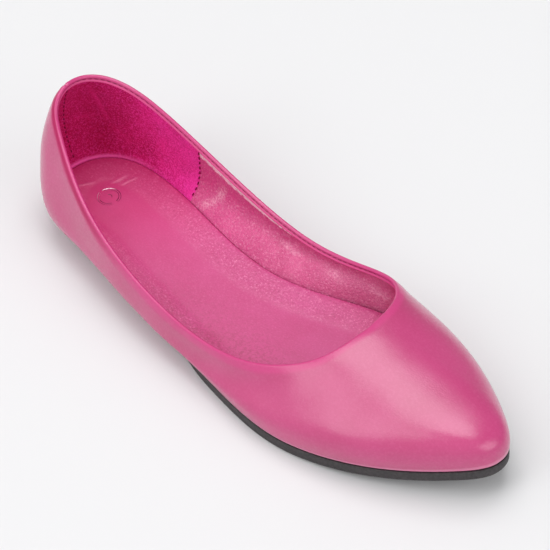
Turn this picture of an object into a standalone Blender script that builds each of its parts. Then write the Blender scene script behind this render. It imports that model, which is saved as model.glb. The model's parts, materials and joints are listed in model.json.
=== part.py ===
"""A pointed toe flat shoe for the right foot, standing empty on its sole.

+X runs to the toe, +Y to the inner side of the foot and +Z up. The origin is on the floor,
under the middle of the shoe. Lengths are in metres.
"""

import bmesh
import bpy
import numpy as np

# Driving sizes
LENGTH = 0.247  # heel to toe along the floor, the unit of each "along"
BALL = 0.079  # width of the sole across the ball, the unit of each "out"
QUARTER = 0.053  # back of the collar above the heel seat, the unit of each "up"
WALL = 0.0018  # upper leather and lining together
MARGIN = 0.008  # lasting margin, turned in under the insole
END_TURN = 0.016  # radius about which the margin turns round the heel and the toe
FEATHER = 0.0015  # rounding where the wall turns in to the margin
ROLL = 0.005  # band below the rim that rolls in at the folded collar
ROLL_IN = 0.0008  # how far the rim of the collar rolls in
RIM = 0.0005  # rounding of the collar's rim
SOLE = 0.0045  # outsole, at its edge
SOLE_ROUND = 0.0006  # rounding of the outsole's edges
HEEL = 0.0027  # low heel moulded under the back of the outsole
SPRING = 0.011  # underside of the toe above the floor
TUCK = 0.004  # outsole set in from the feather line at heel and waist
DRAFT = 0.0012  # heel and waist edge of the outsole, narrower below than above
SOCK = 0.0025  # insole above the lasting margin
DISH = 0.001  # middle of the insole below its edge
DISH_SPAN = 0.030  # width at which the insole is dished in full
GAP = 0.0003  # between pieces that meet

# Places along the shoe, as shares of LENGTH
HEEL_FRONT = 0.235
WAIST_BACK = 0.22
TREAD_BACK = 0.54
TREAD_FRONT = 0.68
TUCK_BACK = 0.30
TUCK_FRONT = 0.52
FILLER_BACK = 0.08
FILLER_FRONT = 0.90

SPRING_BEND = 1.6  # power of the curve from the tread up to the toe
DISH_BEND = 4  # power of the insole's curve from its middle to its edge
RIM_ANGLE = 60  # degrees; edges of the upper that turn by more are rounded
SHARP_ANGLE = 45  # degrees; edges that turn by more are shaded sharp

# The last, as ribs that run from the feather line up to the topline, in order round the
# shoe: heel, outer side, toe, inner side. "out" is minus on the outer side.
# foot_*: the rib's foot on the feather line. top_*: its head on the topline, where top_up
# is above the seat. swell and rise: its handle at the foot, outward and up. reach and
# drop: its handle at the head, outward and down.
RIB_COLUMNS = (
    "foot_along", "foot_out", "top_along", "top_out", "top_up", "swell", "rise", "reach", "drop",
)
RIBS = (
    (0.027, 0.000, 0.025, 0.000, 0.970, 0.085, 0.100, 0.150, 0.430),
    (0.040, -0.158, 0.041, -0.115, 0.905, 0.097, 0.110, 0.150, 0.440),
    (0.095, -0.288, 0.084, -0.205, 0.725, 0.130, 0.110, 0.100, 0.415),
    (0.220, -0.335, 0.210, -0.365, 0.475, 0.120, 0.140, 0.060, 0.395),
    (0.413, -0.425, 0.397, -0.463, 0.342, 0.090, 0.130, 0.025, 0.310),
    (0.576, -0.507, 0.568, -0.459, 0.367, 0.060, 0.190, 0.015, 0.265),
    (0.708, -0.508, 0.665, -0.348, 0.495, 0.045, 0.270, 0.110, 0.280),
    (0.849, -0.359, 0.702, -0.224, 0.575, 0.055, 0.310, 0.310, 0.245),
    (0.952, -0.149, 0.713, -0.122, 0.608, 0.050, 0.350, 0.500, 0.214),
    (0.990, -0.033, 0.716, -0.043, 0.621, 0.033, 0.360, 0.590, 0.207),
    (0.998, 0.044, 0.717, 0.018, 0.625, 0.022, 0.355, 0.605, 0.206),
    (0.991, 0.122, 0.716, 0.068, 0.624, 0.026, 0.345, 0.580, 0.206),
    (0.953, 0.226, 0.713, 0.138, 0.621, 0.033, 0.330, 0.500, 0.208),
    (0.848, 0.391, 0.704, 0.252, 0.605, 0.030, 0.320, 0.320, 0.222),
    (0.718, 0.454, 0.669, 0.395, 0.535, 0.032, 0.320, 0.100, 0.252),
    (0.597, 0.380, 0.595, 0.448, 0.410, 0.045, 0.285, 0.020, 0.242),
    (0.427, 0.196, 0.465, 0.397, 0.355, 0.090, 0.230, 0.010, 0.285),
    (0.228, 0.240, 0.270, 0.375, 0.505, 0.080, 0.170, 0.010, 0.370),
    (0.102, 0.249, 0.112, 0.300, 0.830, 0.088, 0.100, 0.020, 0.450),
    (0.045, 0.147, 0.032, 0.168, 0.935, 0.095, 0.090, 0.070, 0.435),
)

# Fineness of the meshes
RIBS_PER_ROW = 5  # ribs for each row of the table
SIDE_ROWS = 11  # rows of faces up the wall
ROLL_ROWS = 3  # rows of faces in the collar's roll
CELLS = 6  # faces across the insole and the outsole


def smooth_step(start, end, x):
    """0 before start and 1 after end, with a smooth rise between."""
    t = np.clip((x - start) / (end - start), 0, 1)
    return t * t * (3 - 2 * t)


def underside(x):
    """Height of the outsole's underside above the floor, without the heel."""
    along = x / LENGTH
    waist = HEEL * (1 - smooth_step(WAIST_BACK, TREAD_BACK, along))
    toe = np.clip((along - TREAD_FRONT) / (1 - TREAD_FRONT), 0, None)
    return waist + SPRING * toe**SPRING_BEND


def seat(x):
    """Height of the underside of the upper, which is the feather line."""
    return underside(x) + SOLE + GAP


def closed_spline(rows, count):
    """Points of the smooth closed curve through the rows: a cubic with continuous bend."""
    size = len(rows)
    after = np.roll(rows, -1, 0)
    before = np.roll(rows, 1, 0)
    one = np.eye(size)
    matrix = 4 * one + np.roll(one, 1, 0) + np.roll(one, -1, 0)
    bend = np.linalg.solve(matrix, 6 * (before - 2 * rows + after))
    place = np.arange(count) * size / count
    row = place.astype(int)
    t = (place - row)[:, None]
    following = (row + 1) % size
    straight = rows[row] * (1 - t) + rows[following] * t
    first = ((1 - t) ** 3 - (1 - t)) * bend[row] / 6
    second = (t**3 - t) * bend[following] / 6
    return straight + first + second


def outward(ring):
    """Unit vectors in plan, square to a ring that runs heel, outer side, toe, inner side."""
    step = np.roll(ring, -1, 0) - np.roll(ring, 1, 0)
    square = np.stack([step[:, 1], -step[:, 0], np.zeros(len(ring))], 1)
    return square / np.linalg.norm(square, axis=1)[:, None]


class Last:
    """The ribs of the last: four control points each, and the way outward at the foot."""

    def __init__(self):
        table = closed_spline(np.array(RIBS), RIBS_PER_ROW * len(RIBS))
        column = dict(zip(RIB_COLUMNS, table.T))
        flat = np.zeros(len(table))
        foot_x = column["foot_along"] * LENGTH
        head_x = column["top_along"] * LENGTH
        up = np.array([0, 0, 1])
        self.foot = np.stack([foot_x, column["foot_out"] * BALL, flat], 1)
        self.head = np.stack([head_x, column["top_out"] * BALL, flat], 1)
        self.out = outward(self.foot)
        self.head_out = outward(self.head)
        self.foot[:, 2] = seat(foot_x)
        self.head[:, 2] = seat(head_x) + column["top_up"] * QUARTER
        swell = column["swell"][:, None] * BALL * self.out
        reach = column["reach"][:, None] * BALL * self.head_out
        rise = column["rise"][:, None] * QUARTER * up
        drop = column["drop"][:, None] * QUARTER * up
        self.foot_handle = self.foot + swell + rise
        self.head_handle = self.head + reach - drop

    def wall(self, share):
        """A point on each rib, at a share of its way from foot to head."""
        s = share[:, None]
        t = 1 - s
        low = t**3 * self.foot + 3 * s * t**2 * self.foot_handle
        high = 3 * s**2 * t * self.head_handle + s**3 * self.head
        return low + high


def distance(a, b):
    return np.linalg.norm(a - b, axis=1)


def turned_in(ring, width):
    """A ring moved in by a width towards the middle line, which keeps clear of the ends."""
    twin = np.roll(ring[::-1], 1, 0)
    middle = (ring + twin) / 2
    ends = ring[:, 0].min() + END_TURN, ring[:, 0].max() - END_TURN
    middle[:, 0] = np.clip(middle[:, 0], *ends)
    way = (middle - ring) * (1, 1, 0)
    return ring + way / np.linalg.norm(way, axis=1)[:, None] * width


def normals(grid):
    """Unit normals of a grid of points (rows up the wall, ribs round the shoe)."""
    around = np.roll(grid, -1, 1) - np.roll(grid, 1, 1)
    upward = np.gradient(grid, axis=0)
    square = np.cross(around, upward)
    return square / np.linalg.norm(square, axis=2)[:, :, None]


def skin_rows(last):
    """The outer skin of the wall, as rows of points from the feather line to the rim."""
    start = FEATHER / (3 * distance(last.foot_handle, last.foot))
    end = 1 - ROLL / (3 * distance(last.head_handle, last.head))
    sides = [last.wall(start + (end - start) * t) for t in np.linspace(0, 1, SIDE_ROWS + 1)]
    rolls = [last.wall(end + (1 - end) * t) for t in np.linspace(0, 1, ROLL_ROWS + 1)[1:]]
    grid = np.array(sides + rolls)
    into = normals(grid)
    for step in range(ROLL_ROWS):
        share = (step + 1) / ROLL_ROWS
        grid[SIDE_ROWS + 1 + step] -= into[SIDE_ROWS + 1 + step] * ROLL_IN * share**2
    return grid


def upper_rows(last):
    """The whole outer skin: the margin under the insole, the rounded feather, the wall."""
    wall = skin_rows(last)
    edge = turned_in(last.foot, FEATHER)
    middle = (edge + 2 * last.foot + wall[0]) / 4
    inner = turned_in(last.foot, MARGIN)
    for ring in (inner, edge):
        ring[:, 2] = seat(ring[:, 0])
    return np.concatenate([[inner, edge, middle], wall])


def inside_ring(last, height):
    """A ring that clears the inside of the wall, at a height above the seat."""
    wall = skin_rows(last)
    inside = wall - normals(wall) * (WALL + GAP)
    above = inside[:, :, 2] - seat(inside[:, :, 0]) - height
    ring = []
    for rib in range(inside.shape[1]):
        row = np.argmax(above[:, rib] > 0)
        row = max(row, 1)
        low, high = above[row - 1, rib], above[row, rib]
        share = -low / (high - low)
        ring.append(inside[row - 1, rib] * (1 - share) + inside[row, rib] * share)
    ring = np.array(ring)
    ring[:, 2] = seat(ring[:, 0]) + height
    return ring


def cap(mesh, loop, cells, dish=0.0):
    """Faces across a ring of vertices, on bars from each outer point to its inner twin."""
    count = len(loop)
    bars = []
    for k in range(count // 2 + 1):
        left, right = loop[k], loop[-k % count]
        bar = [left]
        if left is not right:
            depth = dish * smooth_step(0, DISH_SPAN, (left.co - right.co).length)
            for t in np.linspace(0, 1, cells + 1)[1:-1]:
                point = left.co.lerp(right.co, t)
                point.z -= depth * (1 - (2 * t - 1) ** DISH_BEND)
                bar.append(mesh.verts.new(point))
            bar.append(right)
        bars.append(bar)
    for a, b in zip(bars, bars[1:]):
        longest = max(len(a), len(b))
        a = a * longest if len(a) == 1 else a
        b = b * longest if len(b) == 1 else b
        for k in range(longest - 1):
            corners = [a[k], a[k + 1], b[k + 1], b[k]]
            mesh.faces.new(list(dict.fromkeys(corners)))


def bridge(mesh, low, high):
    for k in range(len(low)):
        following = (k + 1) % len(low)
        mesh.faces.new([low[k], low[following], high[following], high[k]])


def new_object(name, mesh, collection):
    data = bpy.data.meshes.new(name)
    bmesh.ops.recalc_face_normals(mesh, faces=mesh.faces)
    mesh.to_mesh(data)
    mesh.free()
    item = bpy.data.objects.new(name, data)
    collection.objects.link(item)
    return item


def slab(name, rings, cells, collection, dish=0.0):
    """A closed solid through rings of points, the first one on top."""
    mesh = bmesh.new()
    loops = [[mesh.verts.new(point) for point in ring] for ring in rings]
    for upper, lower in zip(loops, loops[1:]):
        bridge(mesh, upper, lower)
    cap(mesh, loops[0], cells, dish)
    cap(mesh, loops[-1], cells)
    return new_object(name, mesh, collection)


def inset(ring, width):
    """A feather line moved in by a width, which may differ from point to point."""
    return ring - outward(ring) * np.reshape(width, (-1, 1))


def at_height(ring, height):
    placed = ring.copy()
    placed[:, 2] = height
    return placed


def stretch_of(ring, back, front):
    """The part of a ring between two places along the shoe, kept in bars."""
    half = len(ring) // 2
    along = ring[: half + 1, 0] / LENGTH
    kept = [k for k in range(half + 1) if back <= along[k] <= front]
    twins = [k for k in reversed(kept) if k not in (0, half)]
    return ring[kept + [-k for k in twins]]


def unite(item, other):
    union = item.modifiers.new("moulded in one with " + other.name, "BOOLEAN")
    union.operation = "UNION"
    union.object = other
    other.hide_render = True
    other.display_type = "WIRE"


def make_upper(last, collection):
    """The upper: an open skin over the last, given its wall on the inside."""
    rows = upper_rows(last)
    mesh = bmesh.new()
    loops = [[mesh.verts.new(point) for point in ring] for ring in rows]
    for low, high in zip(loops, loops[1:]):
        bridge(mesh, low, high)
    item = new_object("upper", mesh, collection)
    wall = item.modifiers.new("wall", "SOLIDIFY")
    wall.thickness = WALL
    wall.offset = -1
    wall.use_even_offset = True
    wall.use_quality_normals = True
    rim = item.modifiers.new("rounded rim", "BEVEL")
    rim.width = RIM
    rim.segments = 1
    rim.limit_method = "ANGLE"
    rim.angle_limit = np.radians(RIM_ANGLE)
    return item


def sole_ring(last, draft, rounding=0.0):
    """The outsole's edge in plan, tucked in under the heel and the waist."""
    along = last.foot[:, 0] / LENGTH
    share = 1 - smooth_step(TUCK_BACK, TUCK_FRONT, along)
    return inset(last.foot, (TUCK + draft) * share + rounding)


def make_outsole(last, collection, helpers):
    """The outsole in one piece with its low heel."""
    sheet = []
    # Draft, rounding and height above the underside of each ring, from the top
    for draft, rounding, height in (
        (0, SOLE_ROUND, SOLE),
        (0, 0, SOLE - SOLE_ROUND),
        (DRAFT, 0, SOLE_ROUND),
        (DRAFT, SOLE_ROUND, 0),
    ):
        ring = sole_ring(last, draft, rounding)
        sheet.append(at_height(ring, underside(ring[:, 0]) + height))
    item = slab("outsole", sheet, CELLS, collection)
    block = []
    # Draft and height above the floor of each ring, from the middle of the sheet down
    for draft, height in (
        (DRAFT, HEEL + SOLE / 2),
        (DRAFT, HEEL),
        (2 * DRAFT, SOLE_ROUND),
        (2 * DRAFT + SOLE_ROUND, 0),
    ):
        ring = stretch_of(sole_ring(last, draft), 0, HEEL_FRONT)
        block.append(at_height(ring, height))
    unite(item, slab("heel block", block, 1, helpers))
    return item


def make_insole(last, collection, helpers):
    """The insole: a sock over the margin, with a filler that fills the margin's opening."""
    under = WALL + GAP
    top = inside_ring(last, under + SOCK)
    low = inside_ring(last, under)
    item = slab("insole", [top, low], CELLS, collection, DISH)
    opening = stretch_of(turned_in(last.foot, MARGIN + 2 * GAP), FILLER_BACK, FILLER_FRONT)
    overlap = (SOCK - DISH) / 2
    upper_ring = at_height(opening, seat(opening[:, 0]) + under + overlap)
    lower_ring = at_height(opening, seat(opening[:, 0]))
    filler = slab("filler", [upper_ring, lower_ring], 1, helpers)
    unite(item, filler)
    return item


def give_material(item, name, colour, roughness, coat=0.0):
    material = bpy.data.materials.new(name)
    material.use_nodes = True
    shader = material.node_tree.nodes["Principled BSDF"]
    shader.inputs["Base Color"].default_value = (*colour, 1)
    shader.inputs["Roughness"].default_value = roughness
    shader.inputs["Metallic"].default_value = 0
    shader.inputs["Coat Weight"].default_value = coat
    item.data.materials.append(material)


def collection_named(name):
    collection = bpy.data.collections.new(name)
    bpy.context.scene.collection.children.link(collection)
    return collection


def main():
    for item in list(bpy.data.objects):
        bpy.data.objects.remove(item)
    shoe = collection_named("pointed toe flat shoe")
    helpers = collection_named("joined shapes")
    last = Last()
    upper = make_upper(last, shoe)
    outsole = make_outsole(last, shoe, helpers)
    insole = make_insole(last, shoe, helpers)
    give_material(upper, "pink leather", (0.62, 0.075, 0.25), 0.35, 0.3)
    give_material(outsole, "black rubber", (0.02, 0.018, 0.02), 0.6)
    give_material(insole, "pink sock", (0.58, 0.06, 0.22), 0.5)

    skin = upper_rows(last).reshape(-1, 3)
    middle = (skin.min(axis=0) + skin.max(axis=0)) / 2
    origin = bpy.data.objects.new("middle of the shoe", None)
    shoe.objects.link(origin)
    origin.location = (-middle[0], -middle[1], 0)
    for item in [*shoe.objects, *helpers.objects]:
        if item is not origin:
            item.parent = origin
            if item.type == "MESH":
                item.data.shade_smooth()
                item.data.set_sharp_from_angle(angle=np.radians(SHARP_ANGLE))


main()
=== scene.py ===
"""The looks of a pointed toe flat shoe for the right foot: leather, linings, stitches and sole.

+X runs to the toe, +Y to the inner side of the foot and +Z up. Lengths are in metres.
"""

import json

import bmesh
import bpy
import numpy as np
from mathutils import Matrix, Vector, noise

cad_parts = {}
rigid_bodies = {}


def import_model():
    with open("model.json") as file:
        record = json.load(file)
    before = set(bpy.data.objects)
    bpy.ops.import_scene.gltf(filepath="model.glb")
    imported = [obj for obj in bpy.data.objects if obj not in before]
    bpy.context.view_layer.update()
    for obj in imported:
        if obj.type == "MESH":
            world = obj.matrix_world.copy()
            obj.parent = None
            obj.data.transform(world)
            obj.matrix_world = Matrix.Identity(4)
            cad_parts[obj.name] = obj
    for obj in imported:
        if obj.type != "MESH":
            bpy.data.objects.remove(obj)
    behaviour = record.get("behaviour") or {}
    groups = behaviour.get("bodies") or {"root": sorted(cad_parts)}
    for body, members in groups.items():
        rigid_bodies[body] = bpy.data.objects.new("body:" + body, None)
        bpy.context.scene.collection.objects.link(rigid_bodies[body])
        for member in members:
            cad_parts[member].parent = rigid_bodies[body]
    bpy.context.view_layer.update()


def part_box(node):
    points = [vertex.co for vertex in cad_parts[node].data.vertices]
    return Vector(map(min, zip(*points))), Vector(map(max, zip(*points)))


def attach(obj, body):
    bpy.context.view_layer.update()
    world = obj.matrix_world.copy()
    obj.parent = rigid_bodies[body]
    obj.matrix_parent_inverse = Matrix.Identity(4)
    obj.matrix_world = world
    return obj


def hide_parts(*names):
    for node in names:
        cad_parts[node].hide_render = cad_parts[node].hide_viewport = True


# The last's sizes, as in the part's source
LENGTH = 0.247
BALL = 0.079
QUARTER = 0.053
WALL = 0.0018
MARGIN = 0.008
END_TURN = 0.016
FEATHER = 0.0015
ROLL = 0.005
ROLL_IN = 0.0008
SOLE = 0.0045
SOLE_ROUND = 0.0006
HEEL = 0.0027
SPRING = 0.011
TUCK = 0.004
DRAFT = 0.0012
SOCK = 0.0025
DISH = 0.001
GAP = 0.0003
HEEL_FRONT = 0.235
WAIST_BACK = 0.22
TREAD_BACK = 0.54
TREAD_FRONT = 0.68
TUCK_BACK = 0.30
TUCK_FRONT = 0.52
SPRING_BEND = 1.6

# The last's ribs, as in the part's source: heel, outer side, toe, inner side
RIB_COLUMNS = (
    "foot_along", "foot_out", "top_along", "top_out", "top_up", "swell", "rise", "reach", "drop",
)
RIBS = (
    (0.027, 0.000, 0.025, 0.000, 0.970, 0.085, 0.100, 0.150, 0.430),
    (0.040, -0.158, 0.041, -0.115, 0.905, 0.097, 0.110, 0.150, 0.440),
    (0.095, -0.288, 0.084, -0.205, 0.725, 0.130, 0.110, 0.100, 0.415),
    (0.220, -0.335, 0.210, -0.365, 0.475, 0.120, 0.140, 0.060, 0.395),
    (0.413, -0.425, 0.397, -0.463, 0.342, 0.090, 0.130, 0.025, 0.310),
    (0.576, -0.507, 0.568, -0.459, 0.367, 0.060, 0.190, 0.015, 0.265),
    (0.708, -0.508, 0.665, -0.348, 0.495, 0.045, 0.270, 0.110, 0.280),
    (0.849, -0.359, 0.702, -0.224, 0.575, 0.055, 0.310, 0.310, 0.245),
    (0.952, -0.149, 0.713, -0.122, 0.608, 0.050, 0.350, 0.500, 0.214),
    (0.990, -0.033, 0.716, -0.043, 0.621, 0.033, 0.360, 0.590, 0.207),
    (0.998, 0.044, 0.717, 0.018, 0.625, 0.022, 0.355, 0.605, 0.206),
    (0.991, 0.122, 0.716, 0.068, 0.624, 0.026, 0.345, 0.580, 0.206),
    (0.953, 0.226, 0.713, 0.138, 0.621, 0.033, 0.330, 0.500, 0.208),
    (0.848, 0.391, 0.704, 0.252, 0.605, 0.030, 0.320, 0.320, 0.222),
    (0.718, 0.454, 0.669, 0.395, 0.535, 0.032, 0.320, 0.100, 0.252),
    (0.597, 0.380, 0.595, 0.448, 0.410, 0.045, 0.285, 0.020, 0.242),
    (0.427, 0.196, 0.465, 0.397, 0.355, 0.090, 0.230, 0.010, 0.285),
    (0.228, 0.240, 0.270, 0.375, 0.505, 0.080, 0.170, 0.010, 0.370),
    (0.102, 0.249, 0.112, 0.300, 0.830, 0.088, 0.100, 0.020, 0.450),
    (0.045, 0.147, 0.032, 0.168, 0.935, 0.095, 0.090, 0.070, 0.435),
)

# Fineness of the meshes
PER_ROW = 28  # ribs for each row of the table
DENSE = 121  # points up each rib, from which the rows are read
FEATHER_ROWS = 3
ROLL_ROWS = 8
SIDE_ROWS = 46
RIM_ROWS = 8
LINING_ROWS = 36
ROUND_STEPS = 5
INSOLE_CELLS = 44
LOW_CELLS = 6  # across the insole's underside
SOLE_CELLS = 14

# The collar, measured down the inside from the rim
RIM_RISE = 0.0008  # the rim's rounding above its straight sides
STITCH_LINE = 0.0017  # the stitched groove in the folded edge
LINING_TOP = 0.0029  # where the linings start, under the fold's lower lip
FOLD_LIP = 4  # rows of the table below, down to where the lower lip's painted highlight starts
# Down the folded edge from the rim's inner side: distance, and height above the lining
FOLD_SHAPE = (
    (0.0011, 0.0001),
    (0.0014, -0.0001),
    (0.0016, -0.0004),
    (0.0018, -0.0004),
    (0.0020, 0.0000),
    (0.0022, 0.0005),
    (0.0025, 0.0008),
    (0.0028, 0.0008),
    (0.0031, 0.0005),
    (0.0033, 0.0000),
    (0.0034, -0.0003),
)

# The painted shade: a dark band under the rim on the outer side, from where it fades in to where
# it is full
COLLAR_HEIGHT = (0.0042, 0.0022)  # below the rim
COLLAR_TOP = (0.0, 0.0007)
COLLAR_WIDTH = (0.004, -0.004)  # across the shoe
COLLAR_ENDS = (0.36, 0.16)  # shares of LENGTH
ROLL_HEIGHT = (0.0044, 0.0024)  # painted light: a brighter band on the rolled edge elsewhere, below the rim
COLLAR_ROWS = ROLL_ROWS + 4  # rows below the rim that both reach
FOOT_ROW = 3  # row of the margin where the feather line's painted highlight starts

# The linings
SEAM_ALONG = 0.228  # share of LENGTH at which the counter lining ends,
SEAM_OUTER_ROWS = (1.5, 5.5)  # between these rows of the table
SEAM_INNER_ROWS = (15.5, 18.7)
LINING_SUNK = 0.0016  # how far both reach below the insole's top
SUEDE_PROUD = 0.00035  # counter lining over the front lining
SUEDE_ENDS = -0.0002  # its two ends and its top, which sink in
SUEDE_TOP = -0.0001
HEM_LOW = -0.0001  # bottom of its soft hem above the insole's edge
HEM_HIGH = 0.0008
HEM_SOFT = 0.6  # share of the hem's height over which it rounds off
HEM_OUT = 0.0004
HEM_END = (0.08, 0.16)  # where it fades, in shares of LENGTH
LINING_UNDER = 2  # ribs by which the front lining runs on under the counter lining
LINING_EXTRA = 9  # and columns that it has for that
SUEDE_FULL = 0.0004  # height of a wrinkle with its full painted highlight, on the counter lining
LINING_FULL = 0.0003  # and on the front lining

# The front lining's pale raw edge, under the collar
RAW_WIDTH = 0.0054
RAW_THINNER = 0.6  # share of its width that it loses
RAW_TAPER = (0.24, 0.50)  # between these shares of LENGTH
RAW_END = (0.40, 0.50)  # and where it fades

# The upper's back seam: a groove between two lips
SEAM_WIDTH = 0.0005
SEAM_DEPTH = 0.0003
SEAM_REACH = 0.004
LIP_AWAY = 2.6  # in widths
LIP_HEIGHT = 0.4  # in depths

# Stitches: length, gap, width and height
COLLAR_STITCH = (0.0019, 0.0007, 0.0005, 0.0003)
LINING_STITCH = (0.0014, 0.0010, 0.0007, 0.00035)
STITCH_PROFILE = ((-0.5, 0.0), (-0.42, 0.75), (0.0, 1.0), (0.42, 0.75), (0.5, 0.0))
STITCH_SIDES = 6
STITCH_THIN = 0.05  # share of the width at its ends
STITCH_SUNK = 0.0002  # into the collar's groove
BACK_STITCHES = -3.0  # ribs from the heel to the counter lining's back stitches
END_STITCHES = 0.0008  # in from its ends
LINING_RIB = 0.0016  # between the ribs there
STITCHED = slice(1, -4)  # rows of the lining that they run over

# The insole
INSOLE_ROUND = 0.0005
INSOLE_CLEAR = 0.0003  # wider gap to the lining than the solid leaves
SMOOTH_EDGE = 0.0125  # width of the grained border
SMOOTH_STEP = 0.0015  # half the width of the step down from it
SMOOTH_TONE = (0.004, 0.003)  # how far before and past the step the tone changes
SMOOTH_DOWN = 0.0003  # the smooth middle below that border
DISH_SIDE = (0.001, 0.014)  # where the dish starts and is full, from the edge
EDGE_WIDTH = 0.003  # of the soft rise along the edge
EDGE_RISE = 0.5  # its height, as a share of SMOOTH_DOWN
EDGE_SEEN = 0.02  # how far from the edge the material reads its distance
EDGE_PARTS = 14  # the edge is searched a part at a time, to save memory
TOP_SHARE = 0.2  # of INSOLE_ROUND, above which a point belongs to the top

# Fine creases of the insole's heel: from and to, in plan, and half width
INSOLE_CREASES = (
    ((-0.1085, -0.0055), (-0.1043, 0.0032), 0.0012),
    ((-0.1000, 0.0060), (-0.0974, 0.0157), 0.0014),
    ((-0.0964, 0.0082), (-0.0930, 0.0178), 0.0010),
)

# The stamp on the heel of the insole
STAMP_PLACE = (-0.0939, 0.0011)
STAMP_RINGS = ((0.0045, 0.0010), (0.0007, 0.0012))  # radius and width of the ring and the dot
STAMP_SECTION = ((-0.5, 0.0001), (-0.15, -0.0001), (0.15, -0.0001), (0.5, 0.0001))
STAMP_TURNS = 96
STAMP_POINTS = 4  # points of the insole that a point of the stamp takes its height from
STAMP_CLOSE = 0.00001

# The leather's soft unevenness: how many swellings a metre, and their height
UNEVEN_SCALE = 42
UNEVEN_DEPTH = 0.00028
UNEVEN_FINE = 0.4  # share of the swellings of half that size
UNEVEN_FADE = 0.15  # share of the wall over which they fade

CREASE_REACH = 0.004  # how far off the surface a crease's straight line may lie
CREASE_TIP = 0.02  # share of its way that each blunt end takes up
CREASE_FADE = 0.7  # the lower, the more even its depth between them

# Creases of the leather: from and to, as row of the table and share of the wall's height;
# then half width and depth, where a minus sign makes a ridge
CREASES = (
    (2.2, 0.62, 3.4, 0.50, 0.0060, 0.00035),
    (3.3, 0.72, 4.4, 0.62, 0.0050, -0.00025),
    (4.2, 0.55, 5.3, 0.40, 0.0070, 0.00030),
    (1.0, 0.35, 1.6, 0.75, 0.0060, 0.00025),
    (0.4, 0.30, 0.7, 0.70, 0.0070, -0.00020),
    (5.5, 0.60, 6.6, 0.35, 0.0080, 0.00020),
    (14.2, 0.70, 15.4, 0.55, 0.0070, 0.00025),
    (16.4, 0.40, 17.4, 0.60, 0.0060, 0.00030),
    (18.2, 0.30, 18.5, 0.70, 0.0060, 0.00020),
    (7.2, 0.90, 7.6, 0.55, 0.0080, 0.00015),
    (12.6, 0.90, 12.3, 0.60, 0.0080, 0.00015),
)

# Wrinkles of the linings, as the creases
WRINKLES = (
    (19.1, 0.90, 18.7, 0.55, 0.0011, -0.00040),
    (18.7, 0.55, 18.2, 0.42, 0.0014, -0.00028),
    (19.7, 0.62, 19.0, 0.64, 0.0010, 0.00030),
    (16.93, 0.78, 16.84, 0.42, 0.0016, -0.00045),
    (16.84, 0.42, 16.88, 0.15, 0.0016, -0.00040),
    (16.2, 0.62, 15.9, 0.50, 0.0014, 0.00018),
    (15.6, 0.55, 15.3, 0.35, 0.0016, -0.00015),
    (15.0, 0.45, 14.6, 0.30, 0.0018, 0.00015),
)

# Camera: where it stands, the point it looks at, its roll in degrees and its lens in mm
CAMERA_PLACE = (0.5718, -0.4795, 0.7812)
CAMERA_AIM = (-0.0196, 0.0247, 0.0)
CAMERA_ROLL = -3.91
CAMERA_LENS = 178.0

# The sky's strength, from its outer side to its inner side: two ways across, and it at each
WORLD_LIGHT = (-1.0, 0.8, 0.90, 0.38)

# Soft lights that face the shoe: name, place, width and length, watts
LIGHTS = (
    ("overhead", (-0.20, 0.22, 1.4), (0.95, 1.0), 9.0),
    ("side", (-0.25, -0.95, 1.15), (0.7, 1.2), 4.8),
    ("front", (1.4, 0.3, 0.8), (1.2, 0.9), 5.5),
)
FLOOR_SIZE = 8

# Colours of the leather: its three tones, painted light on the rolled edge, painted shade under
# the rim, and painted highlights on the folded edge's lip and the feather line
PINK = (0.53, 0.034, 0.175)
PINK_DEEP = (0.48, 0.024, 0.145)
PINK_PALE = (0.64, 0.085, 0.265)
ROLL_LIGHT_PINK = (0.66, 0.036, 0.225)
UNDER_RIM_SHADE_PINK = (0.43, 0.007, 0.095)
FOLD_LIP_HIGHLIGHT = (0.84, 0.105, 0.33)
FEATHER_HIGHLIGHT = (0.80, 0.24, 0.42)
# the suede: its tones, a pale for its nap and its painted light, painted shade at the heel, pits,
# and painted highlights on wrinkles and hem
SUEDE = (0.80, 0.014, 0.225)
SUEDE_DEEP = (0.56, 0.005, 0.11)
SUEDE_PALE = (0.95, 0.065, 0.47)
SUEDE_HEEL_SHADE = (0.40, 0.004, 0.065)
SUEDE_PITS = (0.36, 0.002, 0.05)
SUEDE_WRINKLE_HIGHLIGHT = (0.85, 0.03, 0.28)
SUEDE_HEM_HIGHLIGHT = (0.98, 0.13, 0.50)
# the front lining: its tones, painted light behind, a painted sheen ahead, painted shade in the
# corner, cracks, glints, raw edge and painted highlights on wrinkles
LINING = (0.71, 0.090, 0.275)
LINING_DEEP = (0.59, 0.050, 0.205)
LINING_LIT_BEHIND = (0.76, 0.075, 0.295)
LINING_SHEEN_AHEAD = (0.76, 0.19, 0.37)
LINING_CORNER_SHADE = (0.58, 0.014, 0.125)
LINING_CRACKS = (0.42, 0.02, 0.12)
LINING_GLINTS = (0.92, 0.35, 0.55)
LINING_RAW = (1.0, 0.70, 0.80)
LINING_WRINKLE_HIGHLIGHT = (0.97, 0.45, 0.62)
# the insole: its tones, painted shade at the heel, specks partly painted glints, pits, painted
# highlights on creases, painted shade by the outer wall and at the edge
SOCK_PINK = (0.61, 0.058, 0.240)
SOCK_DEEP = (0.56, 0.042, 0.200)
SOCK_HEEL_SHADE = (0.60, 0.018, 0.165)
SOCK_SPECKS_AND_GLINTS = (0.88, 0.30, 0.52)
SOCK_PITS = (0.36, 0.02, 0.10)
SOCK_CREASE_HIGHLIGHT = (0.90, 0.22, 0.46)
SOCK_OUTER_SHADE = (0.54, 0.026, 0.155)
SOCK_GRAIN_AND_SHADE = (0.34, 0.014, 0.085)
SOCK_EDGE_SHADE = (0.28, 0.004, 0.055)
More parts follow.
